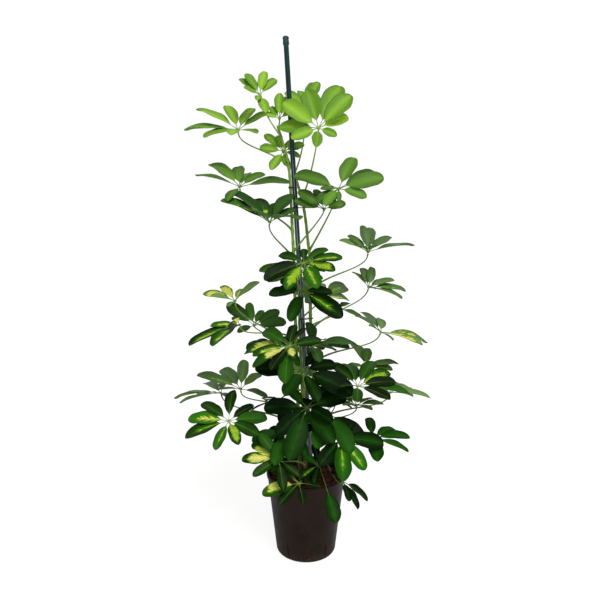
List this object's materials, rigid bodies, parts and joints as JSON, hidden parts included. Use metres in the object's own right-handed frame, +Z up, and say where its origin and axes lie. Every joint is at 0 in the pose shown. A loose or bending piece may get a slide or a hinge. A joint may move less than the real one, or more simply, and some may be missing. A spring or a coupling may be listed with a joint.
{
  "type": "potted umbrella plant",
  "caption": "Variegated dwarf umbrella tree with leafy whorls on slim stems, tied to a coated stake in a brown culture pot of clay pebbles.",
  "frame": {"origin": "middle of the pot's flat base, on the surface that it stands on", "axes": "+Z up along the pot's axis, -Y towards the side that the picture shows, +X to that side's right"},
  "size_m": [0.6117, 0.4267, 1.152],
  "materials": {
    "culture_pot": "brown moulded plastic with a soft sheen",
    "expanded_clay": "reddish-brown fired clay pebbles, matt and porous",
    "stake_coating": "smooth dark blue-green plastic coating over steel",
    "cap_plastic": "dark blue-green soft plastic cap",
    "tie_wire": "dark green paper-backed wire",
    "stem_bark": "smooth yellow-green stem, browner towards the foot",
    "leaf_young": "fresh light green leaf, soft sheen",
    "leaf_green": "mid green waxy leaf with yellow splashes",
    "leaf_dark": "dark green waxy leaf",
    "leaf_splashed": "waxy leaf, yellow along the midribs with green edges"
  },
  "bodies": {
    "root": {"pot": "culture_pot", "clay_pebbles": "expanded_clay", "stake": "stake_coating", "stake_cap": "cap_plastic", "tie_top": "tie_wire", "tie_middle": "tie_wire", "tie_low": "tie_wire", "stem_left": "stem_bark", "stem_right": "stem_bark", "stem_centre": "stem_bark", "stem_front": "stem_bark", "leaf_01": "leaf_young", "leaf_02": "leaf_young", "leaf_03": "leaf_young", "leaf_04": "leaf_young", "leaf_05": "leaf_young", "leaf_06": "leaf_young", "leaf_07": "leaf_green", "leaf_08": "leaf_green", "leaf_09": "leaf_green", "leaf_10": "leaf_dark", "leaf_11": "leaf_green", "leaf_12": "leaf_splashed", "leaf_13": "leaf_green", "leaf_14": "leaf_dark", "leaf_15": "leaf_splashed", "leaf_16": "leaf_splashed", "leaf_17": "leaf_green", "leaf_18": "leaf_green", "leaf_19": "leaf_splashed", "leaf_20": "leaf_dark", "leaf_21": "leaf_splashed", "leaf_22": "leaf_splashed", "leaf_23": "leaf_dark", "leaf_24": "leaf_dark", "leaf_25": "leaf_dark", "leaf_26": "leaf_dark", "leaf_27": "leaf_green", "leaf_28": "leaf_splashed", "leaf_29": "leaf_dark", "leaf_30": "leaf_green", "leaf_31": "leaf_green", "leaf_32": "leaf_dark", "leaf_33": "leaf_green", "leaf_34": "leaf_green", "leaf_35": "leaf_dark", "leaf_36": "leaf_splashed", "leaf_37": "leaf_green", "leaf_38": "leaf_green", "leaf_39": "leaf_dark", "leaf_40": "leaf_dark", "leaf_41": "leaf_green", "leaf_42": "leaf_splashed", "leaf_43": "leaf_green", "leaf_44": "leaf_green", "leaf_45": "leaf_splashed", "leaf_46": "leaf_green"}
  },
  "joints": []
}
